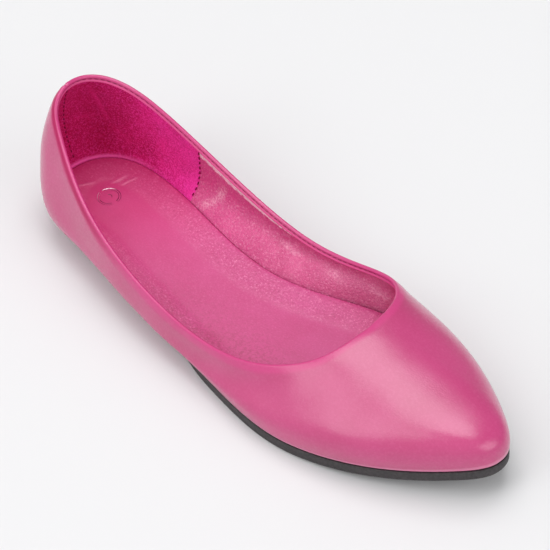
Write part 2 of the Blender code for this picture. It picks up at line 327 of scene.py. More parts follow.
# and the rest: the rubber with painted shade in its grooves, the thread, the foil with painted
# highlight and shade, the floor
RUBBER = (0.034, 0.030, 0.032)
RUBBER_PALE = (0.062, 0.056, 0.058)
RUBBER_GROOVE_SHADE = (0.010, 0.009, 0.010)
THREAD = (0.34, 0.008, 0.085)
THREAD_DEEP = (0.17, 0.003, 0.035)
FOIL_HIGHLIGHT = (0.80, 0.70, 0.78)
FOIL_SHADE = (0.05, 0.002, 0.015)
FOIL_WORN = (0.30, 0.03, 0.11)
FLOOR = (0.75, 0.75, 0.76)
FLOOR_PALE = (0.77, 0.77, 0.78)

# Where the tones along the shoe start and are full, in metres from its middle; all but the grain's
# span place painted light or shade
SUEDE_LIT_SPAN = (-0.100, -0.070)
SUEDE_SHADE_SPAN = (-0.088, -0.114)
BEHIND_SPAN = (-0.015, -0.055)
AHEAD_SPAN = (0.000, 0.030)
CORNER_SPAN = (0.032, 0.045)
GRAIN_SPAN = (0.052, 0.034)
SOCK_HEEL_SPAN = (-0.115, -0.03)  # full at the first, gone at the second
SOCK_OUTER_SPAN = (-0.06, 0.01)
SOCK_OUTER_WIDTH = (0.002, -0.024)  # across the shoe
FOIL_LIGHT_SPAN = (-0.0945, -0.0970)

# The coat's roughness stays below 0.27, above which a render can show contour lines
COAT_ROUGHNESS = (0.19, 0.265)
STREAK_BEND = (160, 0.0007)  # waver of the insole's creases: swellings a metre, and reach
TREAD_SCALE = 110.0
RANGE_SOCKETS = ("From Min", "From Max", "To Min", "To Max")


def smooth_step(start, end, x):
    """0 before start and 1 after end, with a smooth rise between."""
    t = np.clip((x - start) / (end - start), 0, 1)
    return t * t * (3 - 2 * t)


def underside(x):
    """Height of the outsole's underside above the floor, without the heel."""
    along = x / LENGTH
    waist = HEEL * (1 - smooth_step(WAIST_BACK, TREAD_BACK, along))
    toe = np.clip((along - TREAD_FRONT) / (1 - TREAD_FRONT), 0, None)
    return waist + SPRING * toe**SPRING_BEND


def seat(x):
    """Height of the underside of the upper, which is the feather line."""
    return underside(x) + SOLE + GAP


def closed_spline(rows, count):
    """Points of the smooth closed curve through the rows: a cubic with continuous bend."""
    size = len(rows)
    after = np.roll(rows, -1, 0)
    before = np.roll(rows, 1, 0)
    one = np.eye(size)
    matrix = 4 * one + np.roll(one, 1, 0) + np.roll(one, -1, 0)
    bend = np.linalg.solve(matrix, 6 * (before - 2 * rows + after))
    place = np.arange(count) * size / count
    row = place.astype(int)
    t = (place - row)[:, None]
    following = (row + 1) % size
    straight = rows[row] * (1 - t) + rows[following] * t
    first = ((1 - t) ** 3 - (1 - t)) * bend[row] / 6
    second = (t**3 - t) * bend[following] / 6
    return straight + first + second


def outward(ring):
    """Unit vectors in plan, square to a ring that runs heel, outer side, toe, inner side."""
    step = np.roll(ring, -1, 0) - np.roll(ring, 1, 0)
    square = np.stack([step[:, 1], -step[:, 0], np.zeros(len(ring))], 1)
    return square / np.linalg.norm(square, axis=1)[:, None]


class Last:
    """The ribs of the last: four control points each, and the way outward at the foot."""

    def __init__(self, per_row):
        table = closed_spline(np.array(RIBS), per_row * len(RIBS))
        column = dict(zip(RIB_COLUMNS, table.T))
        flat = np.zeros(len(table))
        foot_x = column["foot_along"] * LENGTH
        head_x = column["top_along"] * LENGTH
        up = np.array([0, 0, 1])
        self.foot = np.stack([foot_x, column["foot_out"] * BALL, flat], 1)
        self.head = np.stack([head_x, column["top_out"] * BALL, flat], 1)
        self.out = outward(self.foot)
        self.head_out = outward(self.head)
        self.foot[:, 2] = seat(foot_x)
        self.head[:, 2] = seat(head_x) + column["top_up"] * QUARTER
        swell = column["swell"][:, None] * BALL * self.out
        reach = column["reach"][:, None] * BALL * self.head_out
        rise = column["rise"][:, None] * QUARTER * up
        drop = column["drop"][:, None] * QUARTER * up
        self.foot_handle = self.foot + swell + rise
        self.head_handle = self.head + reach - drop

    def wall(self, share):
        """The point on each rib at a share of its way from foot to head."""
        s = share
        t = 1 - s
        low = t**3 * self.foot + 3 * s * t**2 * self.foot_handle
        high = 3 * s**2 * t * self.head_handle + s**3 * self.head
        return low + high


def turned_in(ring, width):
    """A ring moved in by a width towards the middle line, which keeps clear of the ends."""
    twin = np.roll(ring[::-1], 1, 0)
    middle = (ring + twin) / 2
    ends = ring[:, 0].min() + END_TURN, ring[:, 0].max() - END_TURN
    middle[:, 0] = np.clip(middle[:, 0], *ends)
    way = (middle - ring) * (1, 1, 0)
    return ring + way / np.linalg.norm(way, axis=1)[:, None] * width


def normals(grid):
    """Unit normals of a grid of points (rows up the wall, ribs round the shoe)."""
    around = np.roll(grid, -1, 1) - np.roll(grid, 1, 1)
    upward = np.gradient(grid, axis=0)
    square = np.cross(around, upward)
    return square / np.linalg.norm(square, axis=2)[:, :, None]


def inset(ring, width):
    return ring - outward(ring) * np.reshape(width, (-1, 1))


def at_height(ring, height):
    placed = ring.copy()
    placed[:, 2] = height
    return placed


class Skin:
    """The outside of the wall, asked for points by their distance below the rim."""

    def __init__(self, last):
        self.points = np.array([last.wall(s) for s in np.linspace(0, 1, DENSE)])
        self.normals = normals(self.points)
        steps = np.linalg.norm(np.diff(self.points, axis=0), axis=2)
        zero = np.zeros((1, self.points.shape[1]))
        self.below = np.concatenate([np.cumsum(steps[::-1], 0)[::-1], zero])
        self.length = self.below[0]

    def read(self, below):
        """(points, normals) of the skin at a distance below the rim on each rib."""
        below = np.broadcast_to(below, self.length.shape)
        points, ways = [], []
        for k, distance in enumerate(below):
            place = np.interp(distance, self.below[::-1, k], np.arange(DENSE)[::-1])
            row = min(int(place), DENSE - 2)
            share = place - row
            points.append(self.points[row, k] * (1 - share) + self.points[row + 1, k] * share)
            ways.append(self.normals[row, k] * (1 - share) + self.normals[row + 1, k] * share)
        ways = np.array(ways)
        return np.array(points), ways / np.linalg.norm(ways, axis=1)[:, None]

    def at(self, below, into):
        """A ring at a distance below the rim and a depth into the wall, with the collar's roll."""
        points, ways = self.read(below)
        roll = ROLL_IN * np.clip(1 - np.asarray(below) / ROLL, 0, 1) ** 2
        return points - ways * np.reshape(np.asarray(into) + roll, (-1, 1))

    def below_at_height(self, height, into):
        """Distance below the rim at which the inside of the wall is at a height above the seat."""
        inside = self.points - self.normals * into
        above = inside[:, :, 2] - seat(inside[:, :, 0]) - height
        found = []
        for k in range(inside.shape[1]):
            row = max(np.argmax(above[:, k] > 0), 1)
            low, high = above[row - 1, k], above[row, k]
            share = -low / (high - low)
            found.append(self.below[row - 1, k] * (1 - share) + self.below[row, k] * share)
        return np.array(found)


def creased(grid, skin, table, ways):
    """A grid pushed in along its ways at the creases of a table."""
    count = grid.shape[1]
    moved = grid.copy()
    for row_a, share_a, row_b, share_b, width, depth in table:
        ends = []
        for row, share in ((row_a, share_a), (row_b, share_b)):
            rib = int(round(row * PER_ROW)) % count
            ends.append(skin.points[int(share * (DENSE - 1)), rib])
        start, end = ends
        line = end - start
        t = np.clip(((grid - start) @ line) / (line @ line), 0, 1)
        gap = grid - (start + t[..., None] * line)
        above = (gap * ways).sum(2)
        along = np.linalg.norm(gap - above[..., None] * ways, axis=2)
        away = along + np.clip(np.abs(above) - CREASE_REACH, 0, None)
        fade = np.sin(np.pi * np.clip(t, CREASE_TIP, 1 - CREASE_TIP)) ** CREASE_FADE
        moved -= ways * (depth * fade * np.exp(-((away / width) ** 2)))[..., None]
    return moved


def uneven(wall):
    """Small soft swellings all over a wall, which fade out at its foot and at the rim."""
    height = np.zeros(wall.shape[:2])
    for r, c in np.ndindex(height.shape):
        place = Vector(wall[r, c])
        broad = noise.noise(place * UNEVEN_SCALE)
        height[r, c] = broad + UNEVEN_FINE * noise.noise(place * UNEVEN_SCALE * 2)
    up = np.linspace(0, 1, len(wall))[:, None]
    shown = smooth_step(0, UNEVEN_FADE, up) * smooth_step(1, 1 - UNEVEN_FADE, up)
    return UNEVEN_DEPTH * height * shown


def added(name, data):
    """A new object of the scene."""
    item = bpy.data.objects.new(name, data)
    bpy.context.scene.collection.objects.link(item)
    return item


def mesh_object(name, points, faces):
    data = bpy.data.meshes.new(name)
    data.from_pydata([tuple(p) for p in points], [], faces)
    data.validate()
    data.shade_smooth()
    return added(name, data)


def grid_faces(rows, columns, closed=True, first=0):
    """Quads of a grid of points numbered row by row."""
    faces = []
    for r in range(rows - 1):
        low = first + r * columns
        high = low + columns
        for c in range(columns if closed else columns - 1):
            d = (c + 1) % columns
            faces.append((low + c, low + d, high + d, high + c))
    return faces


def grid_object(name, grid, closed=True):
    rows, columns = grid.shape[:2]
    return mesh_object(name, grid.reshape(-1, 3), grid_faces(rows, columns, closed))


def store(item, name, values):
    """Keeps one number for each vertex, for the material to read."""
    layer = item.data.attributes.new(name, "FLOAT", "POINT")
    layer.data.foreach_set("value", np.asarray(values, np.float32).ravel())


def cap(mesh, loop, cells):
    """Faces across a ring of vertices, on bars from each outer point to its inner twin."""
    count = len(loop)
    bars = []
    for k in range(count // 2 + 1):
        left, right = loop[k], loop[-k % count]
        bar = [left]
        if left is not right:
            for t in np.linspace(0, 1, cells + 1)[1:-1]:
                bar.append(mesh.verts.new(left.co.lerp(right.co, t)))
            bar.append(right)
        bars.append(bar)
    for a, b in zip(bars, bars[1:]):
        longest = max(len(a), len(b))
        a = a * longest if len(a) == 1 else a
        b = b * longest if len(b) == 1 else b
        for k in range(longest - 1):
            corners = [a[k], a[k + 1], b[k + 1], b[k]]
            mesh.faces.new(list(dict.fromkeys(corners)))


def slab(name, rings, cells_top, cells_low):
    """A closed solid through rings of points, the first one on top."""
    mesh = bmesh.new()
    loops = [[mesh.verts.new(point) for point in ring] for ring in rings]
    for high, low in zip(loops, loops[1:]):
        for k in range(len(high)):
            d = (k + 1) % len(high)
            mesh.faces.new([high[k], high[d], low[d], low[k]])
    cap(mesh, loops[0], cells_top)
    cap(mesh, loops[-1], cells_low)
    bmesh.ops.recalc_face_normals(mesh, faces=mesh.faces)
    data = bpy.data.meshes.new(name)
    mesh.to_mesh(data)
    mesh.free()
    data.shade_smooth()
    return added(name, data)


def stitches(name, path, ways, length, gap, width, height):
    """Stitches along a path of points, each a small rounded mesh that lies along it."""
    steps = np.linalg.norm(np.diff(path, axis=0), axis=1)
    place = np.concatenate([[0], np.cumsum(steps)])
    count = int(place[-1] // (length + gap))
    around = np.linspace(0, 2 * np.pi, STITCH_SIDES + 1)[:-1]
    points, faces = [], []
    for k in range(count):
        middle = (k + 0.5) * place[-1] / count
        ends = [middle - length / 2, middle + length / 2]
        a, b = [np.array([np.interp(e, place, path[:, i]) for i in range(3)]) for e in ends]
        out = np.array([np.interp(middle, place, ways[:, i]) for i in range(3)])
        along = b - a
        side = np.cross(out, along)
        side /= np.linalg.norm(side)
        up = np.cross(along, side)
        up /= np.linalg.norm(up)
        first = len(points)
        for share, fat in STITCH_PROFILE:
            centre = (a + b) / 2 + along * share
            fat = max(fat, STITCH_THIN)
            for angle in around:
                round_side = side * np.cos(angle) * width / 2 * fat
                round_up = up * np.sin(angle) * height * fat
                points.append(centre + round_side + round_up)
        faces += grid_faces(len(STITCH_PROFILE), STITCH_SIDES, first=first)
    return mesh_object(name, np.array(points), faces)


def make_leather(last, skin):
    """The leather: margin, feather, wall, rim and the folded edge inside it."""
    edge = turned_in(last.foot, FEATHER)
    inner = turned_in(last.foot, MARGIN)
    for ring in (inner, edge):
        ring[:, 2] = seat(ring[:, 0])
    foot_row = skin.length - FEATHER
    lowest = skin.at(foot_row, 0)
    rows = [inner, edge]
    for s in np.linspace(0, 1, FEATHER_ROWS + 2)[1:-1]:
        rows.append((1 - s) ** 2 * edge + 2 * s * (1 - s) * last.foot + s**2 * lowest)
    first_wall = len(rows)
    for s in np.linspace(0, 1, SIDE_ROWS + 1):
        rows.append(skin.at(foot_row + (ROLL - foot_row) * s, 0))
    for s in np.linspace(0, 1, ROLL_ROWS + 1)[1:]:
        rows.append(skin.at(ROLL + (RIM_RISE - ROLL) * s, 0))
    wall = np.array(rows[first_wall:])
    ways = normals(wall)
    wall = creased(wall, skin, CREASES, ways)
    wall += ways * uneven(wall)[..., None]
    rows[first_wall:] = list(wall)

    top = rows[-1]
    way = ways[-1]
    rise = skin.at(0, 0) - skin.at(RIM_RISE, 0)
    rise /= np.linalg.norm(rise, axis=1)[:, None]
    for s in np.linspace(0, np.pi, RIM_ROWS + 1)[1:]:
        rows.append(top - way * (1 - np.cos(s)) * WALL / 2 + rise * np.sin(s) * RIM_RISE)
    rim_end = len(rows)
    for below, proud in FOLD_SHAPE:
        rows.append(skin.at(below, WALL + proud))
    grid = np.array(rows)

    # The back seam: a groove down the heel, with lips, that also notches the rim
    ring = last.foot
    away = np.linalg.norm(ring - ring[0], axis=1)
    groove = SEAM_DEPTH * np.exp(-((away / SEAM_WIDTH) ** 2))
    lip_away = (away - LIP_AWAY * SEAM_WIDTH) / SEAM_WIDTH
    lips = LIP_HEIGHT * SEAM_DEPTH * np.exp(-(lip_away**2))
    push = np.where(away < SEAM_REACH, groove - lips, 0)
    outside = slice(first_wall, first_wall + SIDE_ROWS + ROLL_ROWS + 1 + RIM_ROWS // 2)
    out = normals(grid)
    grid[outside] -= out[outside] * push[None, :, None]
    item = grid_object("upper_leather", grid)

    # What the material reads: the folded edge's painted highlight, the painted shade under the
    # rim, the rolled edge's painted light, the feather line's painted highlight
    fold, collar, roll, foot = np.zeros((4, *grid.shape[:2]))
    fold[rim_end + FOLD_LIP :] = 1
    rim_start = rim_end - RIM_ROWS
    for back in range(COLLAR_ROWS):
        below = RIM_RISE + (ROLL - RIM_RISE) * back / ROLL_ROWS
        collar[rim_start - 1 - back] = smooth_step(*COLLAR_HEIGHT, below)
        roll[rim_start - 1 - back] = smooth_step(*ROLL_HEIGHT, below)
    roll[rim_start:rim_end] = 1
    collar *= smooth_step(*COLLAR_TOP, np.linalg.norm(grid - grid[rim_start], axis=2))
    collar *= smooth_step(*COLLAR_WIDTH, grid[..., 1])
    collar *= smooth_step(*COLLAR_ENDS, grid[..., 0] / LENGTH)
    foot[FOOT_ROW : first_wall + 1] = 1
    store(item, "fold", fold)
    store(item, "collar", collar)
    store(item, "roll", roll * (1 - collar))
    store(item, "foot", foot)
    return item, grid


def lining_grid(skin, low, wrinkles):
    """The inside of the wall from the folded edge to a distance below the rim."""
    rows = []
    for s in np.linspace(0, 1, LINING_ROWS + 1):
        rows.append(skin.at(LINING_TOP + (low - LINING_TOP) * s, WALL))
    grid = np.array(rows)
    return creased(grid, skin, wrinkles, normals(grid[::-1])[::-1])


def seam_places(grid, along, low_row, high_row):
    """For each row of the lining, the place round the shoe where it is so far forward."""
    ribs = np.arange(int(low_row * PER_ROW), int(high_row * PER_ROW) + 1)
    places = []
    for row in grid:
        x = row[ribs, 0]
        order = np.argsort(x)
        places.append(np.interp(along, x[order], ribs[order]))
    return np.array(places)


def cut(grid, start, end, count):
    """The part of a grid between two places on each row, which may lie between ribs."""
    size = grid.shape[1]
    pieces = []
    for row, a, b in zip(grid, start, end):
        place = np.linspace(a, b, count)
        rib = np.floor(place).astype(int)
        share = (place - rib).reshape(-1, *[1] * (row.ndim - 1))
        pieces.append(row[rib % size] * (1 - share) + row[(rib + 1) % size] * share)
    return np.array(pieces)


def make_linings(skin):
    """The counter lining round the heel and the smooth lining in front of it."""
    count = skin.points.shape[1]
    top = WALL + GAP + SOCK
    low = skin.below_at_height(top - LINING_SUNK, WALL)
    grid = lining_grid(skin, low, WRINKLES)
    into = -normals(grid[::-1])[::-1]
    wrinkled = np.linalg.norm(grid - lining_grid(skin, low, ()), axis=2)
    outer = seam_places(grid, SEAM_ALONG * LENGTH, *SEAM_OUTER_ROWS)
    inner = seam_places(grid, SEAM_ALONG * LENGTH, *SEAM_INNER_ROWS)

    place = np.linspace(0, 1, LINING_ROWS + 1)
    below = LINING_TOP + (low - LINING_TOP) * place[:, None]
    hem_low = skin.below_at_height(top + HEM_LOW, WALL)
    hem_high = skin.below_at_height(top + HEM_HIGH, WALL)
    hem_middle = (hem_low + hem_high) / 2
    hem = np.exp(-(((below - hem_middle) / (HEM_SOFT * (hem_low - hem_high))) ** 2))
    hem *= 1 - smooth_step(*HEM_END, grid[..., 0] / LENGTH)

    span = inner, outer + count, int(outer.mean() + count - inner.mean())
    hem = cut(hem, *span)
    proud = np.full(hem.shape[1], SUEDE_PROUD)
    proud[[0, -1]] = SUEDE_ENDS
    lift = proud + HEM_OUT * hem
    lift[0] = SUEDE_TOP
    heel = cut(grid, *span) + cut(into, *span) * lift[..., None]
    suede = grid_object("counter_lining", heel, closed=False)
    store(suede, "hem", hem)
    store(suede, "ridge", np.clip(cut(wrinkled, *span) / SUEDE_FULL, 0, 1))

    columns = int(inner.mean() - outer.mean()) + LINING_EXTRA
    span = outer - LINING_UNDER, inner + LINING_UNDER, columns
    front = cut(grid, *span)
    smooth = grid_object("front_lining", front, closed=False)
    along = front[..., 0] / LENGTH
    width = RAW_WIDTH * (1 - RAW_THINNER * smooth_step(*RAW_TAPER, along))
    raw = smooth_step(LINING_TOP + width, LINING_TOP + width / 2, cut(below, *span))
    raw = raw * (1 - smooth_step(*RAW_END, along)) * (front[..., 1] > 0)
    store(smooth, "raw_edge", raw)
    store(smooth, "ridge", np.clip(cut(wrinkled, *span) / LINING_FULL, 0, 1))
    return suede, smooth, grid, into, outer, inner


def insole_edge(skin, height):
    """The ring that clears the inside of the wall, at a height above the seat."""
    below = skin.below_at_height(height, WALL + GAP)
    points, ways = skin.read(below)
    ring = points - ways * (WALL + GAP)
    ring[:, 2] = seat(ring[:, 0]) + height
    return ring


def insole_depth(edge, points):
    """How far the insole's top lies below its edge, and how far each point is from the edge."""
    away = np.full(len(points), 1.0)
    for some in np.array_split(edge[:, :2], EDGE_PARTS):
        gap = points[:, None, :2] - some[None]
        away = np.minimum(away, np.sqrt((gap**2).sum(2)).min(1))
    border = smooth_step(SMOOTH_EDGE - SMOOTH_STEP, SMOOTH_EDGE + SMOOTH_STEP, away)
    dish = DISH * smooth_step(*DISH_SIDE, away)
    edge_rise = SMOOTH_DOWN * EDGE_RISE * smooth_step(0, EDGE_WIDTH, away)
    return dish + SMOOTH_DOWN * border - edge_rise, away


def make_insole(skin):
    """The insole: rounded at its edge, with a grained border round a smooth middle."""
    top = WALL + GAP + SOCK
    rings = []
    edge = inset(insole_edge(skin, top), INSOLE_CLEAR)
    for s in np.linspace(0, np.pi / 2, ROUND_STEPS):
        ring = inset(edge, INSOLE_ROUND * np.cos(s))
        ring[:, 2] = seat(ring[:, 0]) + top - INSOLE_ROUND * (1 - np.sin(np.pi / 2 - s))
        rings.append(ring)
    rings.append(inset(insole_edge(skin, WALL + GAP), INSOLE_CLEAR))
    item = slab("insole_sock", rings, INSOLE_CELLS, LOW_CELLS)
    points = np.empty(len(item.data.vertices) * 3)
    item.data.vertices.foreach_get("co", points)
    points = points.reshape(-1, 3)
    depth, away = insole_depth(edge, points)
    upward = points[:, 2] > seat(points[:, 0]) + top - TOP_SHARE * INSOLE_ROUND
    points[:, 2] -= np.where(upward, depth, 0)
    item.data.vertices.foreach_set("co", points.ravel())
    item.data.update()
    before, past = SMOOTH_TONE
    store(item, "middle", smooth_step(SMOOTH_EDGE - before, SMOOTH_EDGE + past, away))
    store(item, "away", np.clip(away / EDGE_SEEN, 0, 1))
    return item, points


def make_stamp(insole_points, shift):
    """A plain ring and a dot of foil, pressed into the heel of the insole."""
    centre = np.array(STAMP_PLACE) - shift[:2]
    points, faces = [], []
    for radius, width in STAMP_RINGS:
        first = len(points)
        for angle in np.linspace(0, 2 * np.pi, STAMP_TURNS + 1)[:-1]:
            way = np.array([np.cos(angle), np.sin(angle)])
            for reach, height in STAMP_SECTION:
                place = centre + way * (radius + reach * width)
                gap = np.linalg.norm(insole_points[:, :2] - place, axis=1)
                gap[insole_points[:, 2] < seat(place[0]) + WALL + GAP] = 1
                nearest = np.argsort(gap)[:STAMP_POINTS]
                weight = 1 / (gap[nearest] + STAMP_CLOSE)
                surface = (insole_points[nearest, 2] * weight).sum() / weight.sum()
                points.append((*place, surface + height))
        size = len(STAMP_SECTION)
        for k in range(STAMP_TURNS):
            d = (k + 1) % STAMP_TURNS
            for c in range(size - 1):
                a, b = first + k * size + c, first + d * size + c
                faces.append((a, a + 1, b + 1, b))
    item = mesh_object("stamp_rings", np.array(points), faces)
    item.data.flip_normals()
    return item


def sole_ring(last, draft, rounding=0.0):
    """The outsole's edge in plan: the last's own, drawn in under the heel and the waist."""
    along = last.foot[:, 0] / LENGTH
    share = 1 - smooth_step(TUCK_BACK, TUCK_FRONT, along)
    return inset(last.foot, (TUCK + draft) * share + rounding)


def back_ribs(ring, front):
    """The ribs of a ring behind a place along the shoe, with their twins in order."""
    half = len(ring) // 2
    along = ring[: half + 1, 0] / LENGTH
    kept = [k for k in range(half + 1) if 0 <= along[k] <= front]
    twins = [k for k in reversed(kept) if k not in (0, half)]
    return kept + [-k for k in twins]


def make_outsole(last):
    """The outsole, with rounded edges, and its low heel."""
    turns = np.linspace(0, np.pi / 2, ROUND_STEPS)
    turns = [(SOLE_ROUND * (1 - np.cos(s)), SOLE_ROUND * (1 - np.sin(s))) for s in turns]
    # Of each ring: draft, rounding and height
    sheet = [(0.0, b, SOLE - a) for a, b in turns] + [(DRAFT, a, b) for a, b in turns]
    block = [(DRAFT, 0.0, HEEL + SOLE / 2), (DRAFT, 0.0, HEEL)]
    block += [(2 * DRAFT, a, b) for a, b in turns]
    rings = []
    for draft, rounding, height in sheet:
        ring = sole_ring(last, draft, rounding)
        rings.append(at_height(ring, underside(ring[:, 0]) + height))
    sole = slab("outsole_rubber", rings, SOLE_CELLS, SOLE_CELLS)
    kept = back_ribs(sole_ring(last, DRAFT), HEEL_FRONT)
    rings = [at_height(sole_ring(last, a, b)[kept], height) for a, b, height in block]
    heel = slab("heel_block", rings, SOLE_CELLS, SOLE_CELLS)
    return joined(sole, heel)


def joined(first, *others):
    """One object made of several."""
    mesh = bmesh.new()
    for item in (first, *others):
        mesh.from_mesh(item.data)
    mesh.to_mesh(first.data)
    mesh.free()
    for item in others:
        bpy.data.objects.remove(item)
    return first


class Paint:
    """A material, with short calls for its nodes."""

    def __init__(self, name, **values):
        self.material = bpy.data.materials.new(name)
        self.material.use_nodes = True
        self.tree = self.material.node_tree
        self.shader = self.tree.nodes["Principled BSDF"]
        for key, value in values.items():
            self.shader.inputs[key.replace("_", " ")].default_value = value
        self.place = self.add("ShaderNodeTexCoord").outputs["Object"]
        self.base = None
        self.last_bump = None

    def feed(self, socket, value):
        """Links a value from another node to a socket, or sets a plain one on it."""
        if hasattr(value, "is_output"):
            self.tree.links.new(value, socket)
        else:
            socket.default_value = value

    def add(self, kind, **inputs):
        node = self.tree.nodes.new(kind)
        for key, value in inputs.items():
            self.feed(node.inputs[key.replace("_", " ")], value)
        return node

    def noise(self, scale, detail, rough):
        """A noise of so many swellings a metre."""
        inputs = {"Vector": self.place, "Scale": scale, "Detail": detail, "Roughness": rough}
        return self.add("ShaderNodeTexNoise", **inputs).outputs["Fac"]

    def cells(self, scale, feature="F1", place=None):
        node = self.add("ShaderNodeTexVoronoi", Vector=place or self.place, Scale=scale)
        node.feature = feature
        return node.outputs["Distance"]

    def bands(self, direction):
        node = self.add("ShaderNodeTexWave", Vector=self.place, Scale=TREAD_SCALE)
        node.wave_type = "BANDS"
        node.bands_direction = direction
        return node.outputs["Fac"]

    def vector(self, kind, *values):
        node = self.add("ShaderNodeVectorMath")
        node.operation = kind
        for socket, value in zip(node.inputs, values):
            self.feed(socket, value)
        return node

    def bent(self, scale, reach):
        """The place, moved about by a noise, so that lines and cells come out uneven."""
        field = self.add("ShaderNodeTexNoise", Vector=self.place, Scale=scale, Detail=2.0)
        centred = self.vector("SUBTRACT", field.outputs["Color"], (0.5, 0.5, 0.5))
        sizes = (reach * 2,) * 3
        moved = self.vector("MULTIPLY_ADD", centred.outputs["Vector"], sizes, self.place)
        return moved.outputs["Vector"]

    def streak(self, start, end, width):
        """1 along a slightly wavering line between two places in plan, and 0 off it."""
        way = np.array(end) - np.array(start)
        length = float(np.linalg.norm(way))
        way /= length
        offset = self.vector("SUBTRACT", self.bent(*STREAK_BEND), (*start, 0.0)).outputs["Vector"]
        along = self.vector("DOT_PRODUCT", offset, (way[0], way[1], 0.0)).outputs["Value"]
        off = self.vector("DOT_PRODUCT", offset, (-way[1], way[0], 0.0)).outputs["Value"]
        near = self.spread(self.math("ABSOLUTE", off, 0.0), width, 0.0)
        begun = self.spread(along, 0.0, length / 4)
        ended = self.spread(along, length, length * 0.75)
        return self.times(near, self.times(begun, ended))

    def along(self, span, to_low=0.0, to_high=1.0, axis="X"):
        """A value that changes between two places along an axis, in metres."""
        split = self.add("ShaderNodeSeparateXYZ", Vector=self.place)
        return self.spread(split.outputs[axis], *span, to_low, to_high)

    def spread(self, value, low, high, to_low=0.0, to_high=1.0):
        """A value between low and high, spread evenly over another range."""
        node = self.add("ShaderNodeMapRange", Value=value)
        for key, number in zip(RANGE_SOCKETS, (low, high, to_low, to_high)):
            node.inputs[key].default_value = number
        return node.outputs["Result"]

    def math(self, kind, a, b):
        node = self.add("ShaderNodeMath")
        node.operation = kind
        for socket, value in zip(node.inputs, (a, b)):
            self.feed(socket, value)
        return node.outputs[0]

    def times(self, a, b):
        return self.math("MULTIPLY", a, b)

    def mix(self, share, a, b):
        """A colour between two colours."""
        node = self.add("ShaderNodeMix")
        node.data_type = "RGBA"
        for key, value in (("Factor", share), ("A", a), ("B", b)):
            socket = next(s for s in node.inputs if s.name == key and s.enabled)
            self.feed(socket, (*value, 1) if isinstance(value, tuple) else value)
        return next(s for s in node.outputs if s.enabled)

    def tint(self, share, colour, most=1):
        """Mixes a colour into the base colour, by a share of at most so much."""
        if most < 1:
            share = self.times(share, most)
        self.base = self.mix(share, self.base, colour)

    def attribute(self, name):
        node = self.add("ShaderNodeAttribute")
        node.attribute_name = name
        return node.outputs["Fac"]

    def bump(self, height, depth):
        """Adds relief of a depth in metres to what is already there."""
        node = self.add("ShaderNodeBump", Height=height, Strength=1.0, Distance=depth)
        if self.last_bump is not None:
            self.tree.links.new(self.last_bump, node.inputs["Normal"])
        self.last_bump = node.outputs["Normal"]

    def drive(self, socket, value):
        self.tree.links.new(value, self.shader.inputs[socket])

    def done(self, coat_too=False):
        """The finished material, with its base colour and relief linked to the shader."""
        self.drive("Base Color", self.base)
        if self.last_bump is not None:
            self.drive("Normal", self.last_bump)
            if coat_too:
                self.drive("Coat Normal", self.last_bump)
        return self.material


def leather_material():
    """Smooth leather under a glossy coat, which the collar and the fold have little of; painted
    light on the rim and rolled edge, painted highlights on the fold's lip and the feather line,
    painted shade under the rim.
    """
    paint = Paint("pink leather", Roughness=0.42, Specular_IOR_Level=0.2, Coat_IOR=1.65)
    broad = paint.noise(28, 3, 0.5)
    fine = paint.noise(900, 2, 0.6)
    paint.base = paint.mix(paint.spread(broad, 0.35, 0.65), PINK_DEEP, PINK)
    paint.tint(paint.spread(fine, 0.45, 0.75, 0, 0.25), PINK_PALE)
    fold = paint.attribute("fold")
    collar = paint.attribute("collar")
    roll = paint.attribute("roll")
    # Painted light: the rim and the rolled edge below it are mixed to a brighter pink
    paint.tint(roll, ROLL_LIGHT_PINK, 0.45)
    # Painted shade: a dark band under the rim on the outer side of the heel and quarter
    paint.tint(collar, UNDER_RIM_SHADE_PINK, 0.95)
    # Painted highlight: the folded edge's lower lip is mixed to a pale pink
    paint.tint(fold, FOLD_LIP_HIGHLIGHT, 0.8)
    # Painted highlight: a pale line along the feather, standing in for the floor's reflection
    paint.tint(paint.attribute("foot"), FEATHER_HIGHLIGHT, 0.6)
    speck = paint.noise(1500, 1, 0.5)
    rough = paint.spread(paint.noise(60, 3, 0.6), 0.3, 0.7, 0.36, 0.46)
    rough = paint.math("ADD", rough, paint.spread(speck, 0.35, 0.75, -0.03, 0.06))
    paint.drive("Roughness", rough)
    matt = paint.math("MAXIMUM", fold, collar)
    matt = paint.math("MAXIMUM", matt, paint.times(roll, 0.25))
    paint.drive("Coat Weight", paint.spread(matt, 0, 1, 1.0, 0.12))
    paint.drive("Coat Roughness", paint.spread(paint.noise(30, 2, 0.5), 0.2, 0.8, *COAT_ROUGHNESS))
    paint.bump(paint.noise(150, 2, 0.5), 0.00004)
    paint.bump(paint.cells(1500), 0.000030)
    paint.bump(paint.noise(2600, 2, 0.6), 0.000018)
    return paint.done(coat_too=True)


